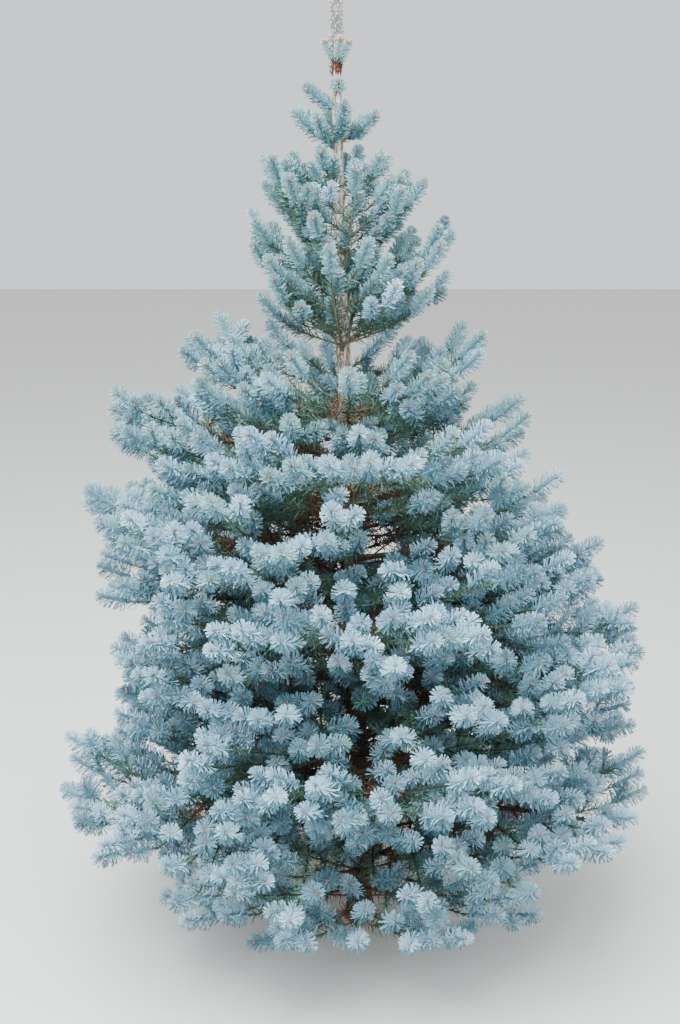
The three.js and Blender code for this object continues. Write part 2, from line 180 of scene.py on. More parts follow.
class Limb:
    def __init__(self, whorl, level, index):
        self.level, self.index, self.whorl = level, index, whorl
        self.random = random = Seeded(1009 + 131 * level + 17 * index)
        azimuth = math.radians(whorl["azimuths"][index] + random.around(TURN_JITTER))
        middle, aside = (whorl["right"] + whorl["left"]) / 2, (whorl["right"] - whorl["left"]) / 2
        reach = (middle + aside * math.cos(azimuth)) * (1 + random.around(REACH_JITTER))
        height = whorl["height"] + random.around(HEIGHT_JITTER)
        pitch = math.atan2(whorl["lift"], reach)
        self.length = math.hypot(whorl["lift"], reach)
        c, s = math.cos(azimuth), math.sin(azimuth)
        self.out = np.array([c * math.cos(pitch), s * math.cos(pitch), math.sin(pitch)])
        self.across = np.array([-s, c, 0])
        self.above = np.cross(self.out, self.across)
        self.foot = trunk_axis(height)
        self.half = math.radians(min(FAN_HALF_MOST, FAN_DEGREES / len(whorl["azimuths"])))
        self.radius = max(LIMB_RADIUS_LEAST, self.length * LIMB_RADIUS_SHARE)
        self.start = self.length * BOUGH_SHARE if whorl["bough"] else 0
        self.spray = whorl["spray"]

    def point(self, a, b):
        """A place in the fan: a along the limb's chord and b across it."""
        a, b = np.asarray(a, float)[..., None], np.asarray(b, float)[..., None]
        share = a / self.length
        bow = ARCH * self.length * (1 - 2 * self.whorl["height"] / TREE_HEIGHT)
        rise = 4 * bow * share * np.maximum(0, 1 - share) + FAN_CUP * b * b / self.length
        return self.foot + self.out * a + self.across * b + self.above * rise


limbs = [Limb(w, level, i) for level, w in enumerate(WHORLS) for i in range(len(w["azimuths"]))]
print("limbs:", len(limbs), "the longest", round(max(limb.length for limb in limbs)), "mm")

# %% [markdown]
# ## Small limbs between the whorls
# The trunk of a fir also bears weaker limbs between its rings. The solids leave them out. Here each gap
# of the lower crown gets a few, turned to stand between those above and below, and shorter than both.

# %% Limbs between the whorls
FIRST_INNER = 5  # the uppermost whorl with weaker limbs under it
INNER_REACH = 0.76


def whorl_between(upper, lower):
    turn = 180 / len(lower["azimuths"])
    middle = {key: (upper[key] + lower[key]) / 2 for key in ("height", "right", "left", "lift", "spray")}
    middle["right"] *= INNER_REACH
    middle["left"] *= INNER_REACH
    return dict(middle, azimuths=[a + turn for a in lower["azimuths"]], bough=False)


inner_limbs = []
for level in range(FIRST_INNER, len(WHORLS) - 1):
    whorl = whorl_between(WHORLS[level], WHORLS[level + 1])
    inner_limbs += [Limb(whorl, level + 20, i) for i in range(len(whorl["azimuths"]))]
limbs += inner_limbs
print("limbs between the whorls:", len(inner_limbs))

# %% [markdown]
# ## Twigs of a fan
# From a limb's stem, pairs of side twigs go out in the plane of the fan, each on a shallow curve that
# turns back towards the stem's own heading. Their length follows from the fan's outline. Between the
# pairs that the solids have, the dressed tree gets finer pairs. Some rise out of the plane and some hang
# below it, which gives the shelf its thickness.

# %% Twigs
NODE_STEP = 112
FIRST_NODE = 10
DIVERGENCE_FIRST = 66
DIVERGENCE_LAST = 40
DIVERGENCE_JITTER = 6
TWIG_BEND = 14
TWIG_LEAST = 52
EDGE_STEP = 6
SPRAY_LENGTH = 100
FINE_DIVERGENCE_FIRST = 84
FINE_DIVERGENCE_LAST = 42
FINE_LIFTS = (0.28, -0.13, 0.06)  # how steeply the finer twigs leave the plane
FINE_FIRST = 0.1  # where they begin on a bough, as a share of its length
FINE_HALF = 72  # degrees; how far round they may reach
FINE_LEAST = 34
FINE_SPRAY = 0.7  # fans with smaller sprays have no finer twigs
FINE_STEP = 0.48  # between finer pairs, as a share of the step between pairs
FINE_LIFT_JITTER = 0.06
FLAT_LIMB = 0.95  # limbs this near to level let their finer twigs reach further round
TWIG_THICKNESS = 0.62  # of the limb's where it leaves
FINE_THICKNESS = 0.36
TWIG_TAPER = 0.6
TWIG_MOST = 0.8  # of the limb's length
TRUNK_CLEAR = 1.6  # times the trunk's radius, where the first pair may stand
END_CLEAR = 12
EDGE_CLEAR = 0.8  # of a spray, between a twig's end and the fan's edge


class Twig:
    def __init__(self, limb, a, heading, bend, most, radius, tip, side, length=None, lift=0, half=None):
        self.limb, self.a, self.heading, self.bend = limb, a, heading, bend
        self.most, self.radius, self.tip, self.side = most, radius, tip, side
        self.lift, self.half = lift, half or limb.half
        self.length = self.length_to_edge() if length is None else length

    def place(self, s):
        s = np.asarray(s, float)
        aside = self.bend * s * s / (2 * self.most)
        c, d = math.cos(self.heading), math.sin(self.heading)
        return self.a + c * s - d * aside, d * s + c * aside

    def point(self, s):
        return self.limb.point(*self.place(s)) + UP * (self.lift * np.asarray(s, float)[..., None])

    def direction(self, s):
        run = self.point(np.asarray(s, float) + 1) - self.point(np.asarray(s, float) - 1)
        return run / np.linalg.norm(run, axis=-1, keepdims=True)

    def length_to_edge(self):
        s = np.arange(EDGE_STEP, self.most + 1e-9, EDGE_STEP)
        a, b = self.place(s)
        share = np.arctan2(b, a) / self.half
        edge = self.limb.length * (1 - FAN_EDGE * share * share) - EDGE_CLEAR * SPRAY_LENGTH * self.limb.spray
        outside = np.nonzero((np.abs(share) > 1) | (np.hypot(a, b) > edge))[0]
        kept = len(s) if len(outside) == 0 else outside[0]
        return EDGE_STEP * kept


def grow_pair(limb, a, random, divergence, thickness, least, **more):
    """The twigs that leave the stem at one place, one to each side."""
    pair = []
    for side in (1, -1):
        heading = side * math.radians(divergence + random.around(DIVERGENCE_JITTER))
        radius = limb.radius * (1 - (1 - TIP_SHARE) / limb.length * a) * thickness
        bend = -side * math.radians(TWIG_BEND)
        most, tip = TWIG_MOST * limb.length, radius * TWIG_TAPER
        twig = Twig(limb, a, heading, bend, most, radius, tip, side, **more)
        if twig.length >= least * limb.spray:
            pair.append(twig)
    return pair


def grow_fan(limb):
    end = max(limb.length - SPRAY_LENGTH * limb.spray, 20)
    thinning = (1 - TIP_SHARE) / limb.length
    run = end - limb.start
    base, tip = limb.radius * (1 - thinning * limb.start), limb.radius * (1 - thinning * end)
    limb.stem = Twig(limb, limb.start, 0, 0, run, base, tip, 1, length=run)
    limb.twigs, limb.fine_twigs = [], []
    skin = TRUNK_CLEAR * float(trunk_radius(limb.whorl["height"]))
    step = NODE_STEP * limb.spray
    for a in np.arange(max(limb.start, skin) + FIRST_NODE, end - END_CLEAR, step):
        divergence = DIVERGENCE_FIRST + (DIVERGENCE_LAST - DIVERGENCE_FIRST) * a / limb.length
        limb.twigs += grow_pair(limb, a, limb.random, divergence, TWIG_THICKNESS, TWIG_LEAST)
    fine = Seeded(4003 + 71 * limb.level + 11 * limb.index)
    first = max(FINE_FIRST * limb.length, skin + FIRST_NODE)
    flat = math.hypot(limb.out[0], limb.out[1])
    half = max(limb.half, math.radians(FINE_HALF)) if flat > FLAT_LIMB else limb.half * flat
    places = np.arange(first, end - END_CLEAR, step * FINE_STEP) if limb.spray > FINE_SPRAY else []
    for i, a in enumerate(places):
        share = a / limb.length
        divergence = FINE_DIVERGENCE_FIRST + (FINE_DIVERGENCE_LAST - FINE_DIVERGENCE_FIRST) * share
        lift = FINE_LIFTS[i % len(FINE_LIFTS)] + fine.around(FINE_LIFT_JITTER)
        pair = grow_pair(limb, a, fine, divergence, FINE_THICKNESS, FINE_LEAST, lift=lift, half=half)
        limb.fine_twigs += pair


for limb in limbs:
    grow_fan(limb)
print("side twigs:", sum(len(limb.twigs) for limb in limbs))
print("finer twigs:", sum(len(limb.fine_twigs) for limb in limbs))

# %% [markdown]
# ## Clusters of shoots
# Where the solids have one coarse spray, the real twig has last year's internode and, at its end, this
# year's shoots: one that goes straight on, one to each side and often one that stands up. Each is a sprig
# here: a start, a heading, a length and an upward curl.

# %% Clusters
SIDE_SPRAY = 0.9
TWIG_SPRAY_STEP = 84
STEM_SPRAY_STEP = 88
FIRST_SPRAY = 0.7  # of a step, from the twig's end to its first side spray
SPRAY_ROOM = 1.05  # of a step, kept free at its foot
TWIG_SPLAY = 54
TWIG_RISE = 22
STEM_SPLAY = 32
STEM_RISE = 44
END_RISE = 8
CLUSTER_RISE = 6  # degrees more, because the shoots turn up to the light
OUTWARD = 0.6  # how strongly a cluster turns away from the trunk, towards open sky
OUTWARD_HEIGHTS = (900, 1200, 1350, 1520, 1580)
OUTWARD_RISES = (12, 26, 42, 52, 32)  # degrees; how far above level that is, at those heights
CURL_HEIGHTS = (900, 1300)
CURLS = (0.1, 0.28)
CURL_SPREAD = 0.1
INTERNODE = 0.3  # last year's part of a cluster, as a share of the spray's length
SHOOT = 0.57  # and this year's
FORK = 50  # degrees between the middle shoot and its neighbours
SHOOTS_APART = 30  # between the middles of two new shoots near the crown's surface
SHADE_APART = 62  # and further in
SHADE_SHARE = 0.72  # how far out along a limb the shade ends
INNER_SHADE_SHARE = 0.9  # and on the weaker limbs between the whorls
BARE_SHARE = 0.4  # and how far out there are no new shoots
LONG_LIMB = 300  # shorter limbs have no shade and are leafy to the trunk
LOWEST_SHOOT = 25
SHOOT_MIDDLE = 0.62  # of its length: where its needles are centred
SMALLEST_SHOOT = 0.8
GAP_FOOT = np.array([-6.0, 0.0, 372.0])  # where the trunk is glimpsed through the shoots
GAP_WAY = np.array([-0.01, -0.92, 0.4])  # and the way that this gap opens
GAP_RADIUS = 34
SINGLE_BELOW = 0.6  # sprays smaller than this are one shoot
SINGLE_BACK = 18  # how far back along its twig that shoot begins
SIDE_SHOOTS = (0.8, 0.14)  # the least length and the spread, as shares of the middle shoot's
MIDDLE_SHOOT = (0.95, 0.1)
UPRIGHT_CHANCE = 0.45  # how often a cluster has a shoot that stands up
UPRIGHT_LENGTH = 0.72
END_JITTER = 5  # degrees
SIDE_JITTERS = (8, 7)  # degrees aside and up
NEW, OLD = "new", "old"


class Sprig:
    """A shoot: where it starts, its heading, its length and how far it curls up by its end."""

    def __init__(self, start, heading, length, curl, radius, kind, size=1.0):
        self.start, self.heading, self.length = start, heading, length
        self.curl, self.radius, self.kind, self.size = curl, radius, kind, size

    def point(self, s):
        s = np.asarray(s, float)[..., None]
        return self.start + self.heading * s + UP * (self.curl * s * s / (2 * self.length))

    def direction(self, s):
        s = np.asarray(s, float)[..., None]
        run = self.heading + UP * (self.curl * s / self.length)
        return run / np.linalg.norm(run, axis=-1, keepdims=True)


def spray_heading(limb, twig, s, aside, rise):
    level = turned(twig.direction(s), limb.above, aside) * math.cos(math.radians(rise))
    own = unit(level + UP * math.sin(math.radians(rise)))
    place = twig.point(s)
    away = unit((place - trunk_axis(place[2])) * (1, 1, 0))
    pitch = math.radians(np.interp(place[2], OUTWARD_HEIGHTS, OUTWARD_RISES))
    return unit(own + OUTWARD * (away * math.cos(pitch) + UP * math.sin(pitch)))


def spray_places(limb, twigs, random):
    for twig in twigs:
        yield twig, twig.length - 2, random.around(END_JITTER), END_RISE + random.around(END_JITTER), 1
    for twig in twigs:
        stem = twig is limb.stem
        step = (STEM_SPRAY_STEP if stem else TWIG_SPRAY_STEP) * limb.spray
        splay, rise = (STEM_SPLAY, STEM_RISE) if stem else (TWIG_SPLAY, TWIG_RISE)
        for i in range(max(0, math.ceil((twig.length - SPRAY_ROOM * step) / step))):
            side = twig.side if i % 2 == 0 else -twig.side
            s = twig.length - (FIRST_SPRAY + i) * step
            aside = side * splay + random.around(SIDE_JITTERS[0])
            yield twig, s, aside, rise + random.around(SIDE_JITTERS[1]), SIDE_SPRAY


middles = []


def in_gap(place):
    """Whether a place stands in the gap through which the trunk is glimpsed."""
    reach = place - GAP_FOOT
    along = reach @ unit(GAP_WAY)
    return along > 0 and np.linalg.norm(reach - along * unit(GAP_WAY)) < GAP_RADIUS


def grow_shoot(limb, start, heading, length, curl, radius):
    """A new shoot, if there is light enough and none stands in its place yet."""
    size = max(SMALLEST_SHOOT, limb.spray)
    shoot = Sprig(start, heading, length, curl, radius, NEW, size)
    middle = shoot.point(SHOOT_MIDDLE * length)
    level_length = limb.length * math.hypot(limb.out[0], limb.out[1])
    share = np.linalg.norm((middle - limb.foot)[:2]) / level_length
    shade = INNER_SHADE_SHARE if limb in inner_limbs else SHADE_SHARE
    apart = SHOOTS_APART if share > shade or limb.length < LONG_LIMB else SHADE_APART
    near = middles and np.min(np.linalg.norm(np.array(middles) - middle, axis=1)) < apart
    bare = share < BARE_SHARE and limb.length > LONG_LIMB
    if near or bare or middle[2] < LOWEST_SHOOT or in_gap(middle):
        return
    middles.append(middle)
    sprigs.append(shoot)


def grow_cluster(limb, root, heading, size):
    length = SPRAY_LENGTH * size
    if limb.spray < SINGLE_BELOW:
        grow_shoot(limb, root - heading * SINGLE_BACK, heading, length + 4, 0.2, 1.5)
        return
    curl = np.interp(root[2], CURL_HEIGHTS, CURLS) + CURL_SPREAD * chance.random()
    internode = Sprig(root, heading, length * INTERNODE, curl * 0.3, 1.4 * size + 0.4, OLD)
    sprigs.append(internode)
    node, ahead = internode.point(internode.length), internode.direction(internode.length)
    side_axis = unit(np.cross(UP, ahead))
    lift_axis = np.cross(ahead, side_axis)
    run = length * SHOOT
    least, spread = MIDDLE_SHOOT
    grow_shoot(limb, node, ahead, run * (least + spread * chance.random()), curl, 1.2)
    least, spread = SIDE_SHOOTS
    for side in (1, -1):
        way = turned(ahead, lift_axis, side * (FORK + chance.normal() * 5))
        way = unit(way + UP * (0.06 + 0.08 * chance.normal()))
        grow_shoot(limb, node, way, run * (least + spread * chance.random()), curl * 1.2, 1.1)
    if chance.random() < UPRIGHT_CHANCE:
        way = unit(ahead * 0.66 + UP * 0.85 + side_axis * 0.35 * chance.normal())
        grow_shoot(limb, internode.point(length * 0.2), way, run * UPRIGHT_LENGTH, curl, 1.0)


sprigs = []
cluster_places = []
for limb in limbs:
    for twigs, seed in (([limb.stem, *limb.twigs], 7919), (limb.fine_twigs, 611)):
        random = Seeded(seed + 97 * limb.level + 13 * limb.index)
        cluster_places += [(limb, *spot) for spot in spray_places(limb, twigs, random)]
for limb, twig, s, aside, rise, size in cluster_places:
    heading = spray_heading(limb, twig, s, aside, rise + CLUSTER_RISE)
    grow_cluster(limb, twig.point(s), heading, size * limb.spray)
new_sprigs = [s for s in sprigs if s.kind == NEW]
print("sprigs:", len(sprigs), "of which new:", len(new_sprigs))

# %% [markdown]
# ## Colours and finishes
# Young needles carry a wax that makes them blue-grey, and it is thicker on some shoots than on others. A real
# image isn't needed for that: several plain blues are dealt out by shoot, and a node group adds a soft drift
# from one place of the crown to the next. One darker blue is painted shade: it goes to the needles that face
# down, and also to some whole shoots at random.

# %% Colour and node helpers
def linear(code):
    """The linear colour for an sRGB code such as 7fa0aa."""
    channels = [int(code[i : i + 2], 16) / 255 for i in (0, 2, 4)]
    return [c / 12.92 if c <= 0.04045 else ((c + 0.055) / 1.055) ** 2.4 for c in channels] + [1.0]


def node(tree, kind, **settings):
    made = tree.nodes.new(kind)
    for key, value in settings.items():
        if key in made.inputs:
            made.inputs[key].default_value = value
        else:
            setattr(made, key, value)
    return made


def wire(tree, *wires):
    """Links sockets, each wire given as a node, its output, the next node and its input."""
    for source, output, target, socket in wires:
        tree.links.new(source.outputs[output], target.inputs[socket])


def new_group(name, inputs, outputs):
    group = bpy.data.node_groups.new(name, "ShaderNodeTree")
    for in_out, sockets in (("INPUT", inputs), ("OUTPUT", outputs)):
        for title, kind, value in sockets:
            socket = group.interface.new_socket(title, in_out=in_out, socket_type=kind)
            if value is not None:
                socket.default_value = value
    return group, group.nodes.new("NodeGroupInput"), group.nodes.new("NodeGroupOutput")


def new_material(name, roughness):
    material = bpy.data.materials.new(name)
    material.use_nodes = True
    shader = material.node_tree.nodes["Principled BSDF"]
    shader.inputs["Roughness"].default_value = roughness
    return material, material.node_tree, shader


# %% [markdown]
# ### Drift of colour
# No two sides of a crown have quite the same colour. A soft noise blends two colours over distances of a
# few shoots. It is made once, as a group, and every material of the crown places it with its own colours
# and scale.

# %% Drift of colour over the crown
drift, drift_in, drift_out = new_group(
    "colour drift",
    [
        ("Colour A", "NodeSocketColor", (0.5, 0.5, 0.5, 1)),
        ("Colour B", "NodeSocketColor", (0.4, 0.4, 0.4, 1)),
        ("Scale", "NodeSocketFloat", 12.0),
    ],
    [("Colour", "NodeSocketColor", None), ("Mask", "NodeSocketFloat", None)],
)
spot = node(drift, "ShaderNodeTexCoord")
cloud = node(drift, "ShaderNodeTexNoise", Detail=3.0, Roughness=0.6)
spread = node(drift, "ShaderNodeMapRange", **{"From Min": 0.35, "From Max": 0.65})
blend = node(drift, "ShaderNodeMix", data_type="RGBA")
wire(
    drift,
    (spot, "Object", cloud, "Vector"),
    (drift_in, "Scale", cloud, "Scale"),
    (cloud, "Fac", spread, "Value"),
    (spread, "Result", blend, "Factor"),
    (drift_in, "Colour A", blend, "A"),
    (drift_in, "Colour B", blend, "B"),
    (blend, "Result", drift_out, "Colour"),
    (spread, "Result", drift_out, "Mask"),
)


def drifting_material(name, colours, scale, roughness):
    material, tree, shader = new_material(name, roughness)
    group = node(tree, "ShaderNodeGroup", node_tree=drift)
    group.inputs["Colour A"].default_value = linear(colours[0])
    group.inputs["Colour B"].default_value = linear(colours[1])
    group.inputs["Scale"].default_value = scale
    wire(tree, (group, "Colour", shader, "Base Color"))
    shader.inputs["Specular IOR Level"].default_value = 0.3
    return material


# %% [markdown]
# ### Needles, buds and twigs
# A needle is a little glossy and its wax dulls it, so the young ones are rougher than the old. Buds shine
# with resin. Twigs and dead needles are dull.

# %% Needle, bud and twig finishes
BLUES = [
    ("a2c6d4", "8ab0bf"),
    ("bcdae6", "a4c6d3"),
    ("86a8b3", "6e919c"),
    ("afcddb", "97b8c6"),
    # painted shade: for the needles that face down and the feet sleeves, and dealt to some whole shoots at
    # random
    ("648a96", "507580"),
    ("9cc0c3", "80a5a7"),
]
GREENS = [("4f7061", "385545"), ("638776", "47695a")]


def tints(title, pairs, scale, roughness):
    return [drifting_material(f"{title} {i + 1}", pair, scale, roughness) for i, pair in enumerate(pairs)]


blue_finishes = tints("young needles", BLUES, 14.0, 0.5)
green_finishes = tints("older needles", GREENS, 18.0, 0.42)
rust_finish = drifting_material("dead needles", ("7a4428", "54301f"), 40.0, 0.8)
bud_finish = drifting_material("buds", ("dda898", "bd8068"), 60.0, 0.45)
twig_finish = drifting_material("twig skin", ("645c47", "474234"), 50.0, 0.75)
print("finishes:", len(bpy.data.materials))

# %% [markdown]
# ## One needle, many copies
# A needle of this fir is a flat, blunt strip. Young ones are narrow at the foot here, so that their crowded
# feet don't merge, and older ones narrow towards the tip. Hundreds of thousands of them would be too slow as
# objects. Each kind is modelled once with bmesh, and numpy writes its copies into one joined mesh.

# %% Copies of a prototype
def prototype(shape):
    """The corners and triangles of a bmesh, which is then freed."""
    bmesh.ops.triangulate(shape, faces=shape.faces[:])
    shape.verts.ensure_lookup_table()
    corners = np.array([v.co[:] for v in shape.verts])
    faces = np.array([[v.index for v in f.verts] for f in shape.faces])
    shape.free()
    return corners, faces


def placed(name, mesh, finish):
    """An object at the origin that shows a mesh with a finish."""
    mesh.materials.append(finish)
    made = bpy.data.objects.new(name, mesh)
    bpy.context.scene.collection.objects.link(made)
    print(name, "has", len(mesh.polygons), "faces")
    return made


def object_of(name, corners, faces, finish):
    """A mesh object from arrays in millimetres."""
    mesh = bpy.data.meshes.new(name)
    mesh.vertices.add(len(corners))
    mesh.vertices.foreach_set("co", (np.asarray(corners) * 0.001).astype(np.float32).ravel())
    mesh.loops.add(faces.size)
    mesh.loops.foreach_set("vertex_index", faces.astype(np.int32).ravel())
    mesh.polygons.add(len(faces))
    mesh.polygons.foreach_set("loop_start", np.arange(0, faces.size, faces.shape[1], dtype=np.int32))
    mesh.polygons.foreach_set("use_smooth", np.full(len(faces), True))
    mesh.update(calc_edges=True)
    mesh.validate()
    return placed(name, mesh, finish)


def copies(shape, origins, across, along, outward, sizes):
    """All copies of a prototype. For each, x, y and z lie along three unit vectors, scaled by sizes."""
    corners, faces = shape
    axes = np.stack([across, along, outward], axis=1) * sizes[:, :, None]
    moved = np.einsum("kj,njc->nkc", corners, axes) + origins[:, None, :]
    shift = np.arange(len(origins))[:, None, None] * len(corners)
    return moved.reshape(-1, 3), (faces[None] + shift).reshape(-1, 3)


def needle_shape(foot, tip):
    """A needle of length 1 up its y axis, with its widths at the foot and at the blunt tip."""
    shape = bmesh.new()
    bmesh.ops.create_grid(shape, x_segments=1, y_segments=1, size=0.5)
    for v in shape.verts:
        width = foot if v.co.y < 0 else tip
        v.co = (math.copysign(width / 2, v.co.x), v.co.y + 0.5, 0)
    return prototype(shape)


young_needle = needle_shape(0.4, 0.95)
older_needle = needle_shape(0.9, 0.45)
print("a young needle has", len(young_needle[1]), "triangles")

# %% [markdown]
# ## How needles stand on a shoot
# Needles leave a shoot in a spiral with the golden angle between neighbours. At its foot they stand out
# almost squarely, and towards its tip they lean forwards. Those under the shoot bend up to the light, so
# that the brush looks full from above and parted from below.

# %% The brush
GOLDEN_ANGLE = math.pi * (3 - math.sqrt(5))
LEAN_JITTER = 10
ROLL = 42  # degrees; flat needles turned half way, so a shoot looks full from its side and from its end
TOP_SWEEP = 12  # degrees by which the needles on top of a shoot lie further forwards
ROLL_JITTER = 16
DOME = 4.5  # the larger, the later the needles turn forwards into the shoot's round end
ALONG_JITTER = 0.3  # of the distance to the next needle
ROUND_JITTER = 0.15  # radians
END_SHORTER = 0.36  # how much shorter the last needles are
LENGTH_LEAST = 0.92
LENGTH_SPREAD = 0.14
FULL_TURN = 6.283


def brush(axis, first, last, count, foot_angle, tip_angle, lift, length, width, crowding=1.0):
    """Needles round an axis, from first to last along it, as the arrays that copies() takes.
    The angles are how far they stand off the axis, in degrees, lift turns them towards the light, and a
    crowding above 1 moves them towards the tip."""
    i = np.arange(count)
    share = np.clip((i + 0.5 + ALONG_JITTER * chance.normal(size=count)) / count, 0.001, 0.999)
    s = first + (last - first) * (1 - (1 - share) ** crowding)
    ahead = axis.direction(s)
    across = np.cross(ahead, UP)
    across /= np.linalg.norm(across, axis=1, keepdims=True) + 1e-9
    above = np.cross(across, ahead)
    angle = i * GOLDEN_ANGLE + chance.random() * FULL_TURN + ROUND_JITTER * chance.normal(size=count)
    radial = across * np.cos(angle)[:, None] + above * np.sin(angle)[:, None]
    lean = foot_angle + (tip_angle - foot_angle) * share**DOME + LEAN_JITTER * chance.normal(size=count)
    lean = np.radians(lean - TOP_SWEEP * np.clip(np.sin(angle), 0, 1))
    way = radial * np.sin(lean)[:, None] + ahead * np.cos(lean)[:, None]
    under = np.clip(-np.sin(angle), 0, 1)
    way += above * (lift * (0.3 + 0.7 * under))[:, None]
    way /= np.linalg.norm(way, axis=1, keepdims=True)
    face = ahead - way * np.sum(ahead * way, axis=1, keepdims=True)
    face /= np.linalg.norm(face, axis=1, keepdims=True) + 1e-9
    side = np.cross(way, face)
    roll = np.radians(np.where(i % 2, ROLL, -ROLL) + ROLL_JITTER * chance.normal(size=count))[:, None]
    side, face = side * np.cos(roll) + face * np.sin(roll), face * np.cos(roll) - side * np.sin(roll)
    lengths = length * (1 - END_SHORTER * share**4) * (LENGTH_LEAST + LENGTH_SPREAD * chance.random(count))
    sizes = np.stack([np.full(count, width), lengths, lengths], axis=1)
    return axis.point(s), side, way, face, sizes


def joined(name, shape, parts, finish):
    arrays = [np.concatenate([part[k] for part in parts]) for k in range(5)]
    return object_of(name, *copies(shape, *arrays), finish)


def joined_by_tint(title, shape, parts_by_tint, finishes):
    pairs = enumerate(zip(parts_by_tint, finishes))
    return [joined(f"{title}_{i + 1}", shape, parts, finish) for i, (parts, finish) in pairs]


# %% [markdown]
# ### This year's needles
# They are the blue brushes that the photograph shows. Each shoot gets one tint. Sea green is commoner towards
# the top, where the shoots are also slimmer and closer, and needles that face down take a darker blue as
# painted shade.

# %% Young needles
YOUNG_PER_MM = 2.1
YOUNG_IN_END = 36  # and so many more in the round end
YOUNG_LENGTH = 22.5
YOUNG_WIDTH = 2.5
YOUNG_CROWDING = 1.5
YOUNG_TIP_ANGLE = 22
YOUNG_LIFT = 0.14
FACES_DOWN = -0.35  # needles whose heading is below this take the darker tint of painted shade
TINT_SHARES = np.array([0.3, 0.22, 0.18, 0.22, 0.08, 0.0])
PAINTED_SHADE_TINT = 4  # the darker tint of painted shade, for the needles under a shoot
SEA_GREEN = 5  # the tint that grows commoner up the tree
SEA_GREEN_HEIGHTS = (800, 1350)
SEA_GREEN_SHARES = (0.03, 0.86)
STAND_OFFS = (78, 60)  # degrees off the shoot at its foot, at those heights
DENSITIES = (1.0, 1.35)  # how much closer the needles stand, at those heights

blue_parts = [[] for _ in BLUES]
for sprig in new_sprigs:
    green = chance.random() < np.interp(sprig.start[2], SEA_GREEN_HEIGHTS, SEA_GREEN_SHARES)
    tint = SEA_GREEN if green else int(chance.choice(len(BLUES), p=TINT_SHARES))
    density = YOUNG_PER_MM * np.interp(sprig.start[2], SEA_GREEN_HEIGHTS, DENSITIES)
    count = int(sprig.length * density / sprig.size) + YOUNG_IN_END
    length = YOUNG_LENGTH * sprig.size
    stand_off = np.interp(sprig.start[2], SEA_GREEN_HEIGHTS, STAND_OFFS)
    angles = stand_off, YOUNG_TIP_ANGLE
    part = brush(sprig, 1, sprig.length, count, *angles, YOUNG_LIFT, length, YOUNG_WIDTH, YOUNG_CROWDING)
    painted_shade_below = part[2][:, 2] < FACES_DOWN
    blue_parts[tint].append([array[~painted_shade_below] for array in part])
    # the needles that face down go to the darker tint, as painted shade
    blue_parts[PAINTED_SHADE_TINT].append([array[painted_shade_below] for array in part])
blue_needles = joined_by_tint("young_needles", young_needle, blue_parts, blue_finishes)

# %% [markdown]
# ## Older needles
# On last year's wood and before it the needles have lost their wax. They are green, a little longer, and
# combed forwards along the twig. Deep inside the crown they have died and turned rusty, and many have
# dropped.

# %% Older and dead needles
# Needles per mm, degrees off the twig at its foot and tip, lift, length and width
INTERNODE_BRUSH = 0.6, (54, 44, 0.35, 22, 2.3)
TWIG_BRUSH = 0.62, (58, 44, 0.4, 23, 2.6)
DEAD_BRUSH = 0.6, (80, 60, -0.1, 19, 2.2)
BARE_LONG = (0.5, 0.32)  # the bare share of a long limb's stem, and of its twigs
BARE_SHORT = (0.1, 0.2)  # and on short limbs
DEAD_RUN = (0.3, 1.3)  # where dead needles begin and end, as shares of the bare part
LEAST_RUN = 10
LEAST_DEAD_RUN = 20

green_parts = [[], []]
rust_parts = []
per_mm, style = INTERNODE_BRUSH
for sprig in sprigs:
    if sprig.kind == OLD:
        part = brush(sprig, 0, sprig.length, int(sprig.length * per_mm) + 2, *style)
        green_parts[int(chance.random() < 0.5)].append(part)
for limb in limbs:
    bare = BARE_LONG if limb.length > LONG_LIMB else BARE_SHORT
    for twig in [limb.stem, *limb.twigs, *limb.fine_twigs]:
        begin = twig.length * bare[0 if twig is limb.stem else 1]
        run = twig.length - begin
        if run > LEAST_RUN:
            per_mm, style = TWIG_BRUSH
            part = brush(twig, begin, twig.length, int(run * per_mm), *style)
            green_parts[int(chance.random() < 0.3)].append(part)
        if begin > LEAST_DEAD_RUN and limb.length > LONG_LIMB:
            per_mm, style = DEAD_BRUSH
            first, last = begin * DEAD_RUN[0], begin * DEAD_RUN[1]
            rust_parts.append(brush(twig, first, last, int(begin * per_mm), *style))
green_needles = joined_by_tint("older_needles", older_needle, green_parts, green_finishes)
dead_needles = joined("dead_needles", older_needle, rust_parts, rust_finish)

# %% [markdown]
# ## Buds
# Every new shoot ends in a small group of resinous, pinkish-tan buds, one in the middle and two or three
# round it. They are the warm dots in the middle of the rosettes.

# %% Buds
BUD_HEIGHTS = (900, 1300)
BUD_SIZES = (2.0, 3.2)
BUD_RINGS = (3.0, 4.0)  # how far from the middle bud the others stand, at those heights
BUD_SIZE_SPREAD = 0.5
BUD_SLIMNESS = 1.5  # a bud's length over its width

bud_mesh = bmesh.new()
bmesh.ops.create_uvsphere(bud_mesh, u_segments=3, v_segments=2, radius=1.1)
bud_shape = prototype(bud_mesh)


def bud_at(origin, way, aside, width, length):
    """One bud, as the arrays that copies() takes. It points along way."""
    side = unit(np.cross(way, aside) + 1e-6)
    sizes = np.array([[width, length, width]])
    return origin[None], side[None], way[None], np.cross(side, way)[None], sizes


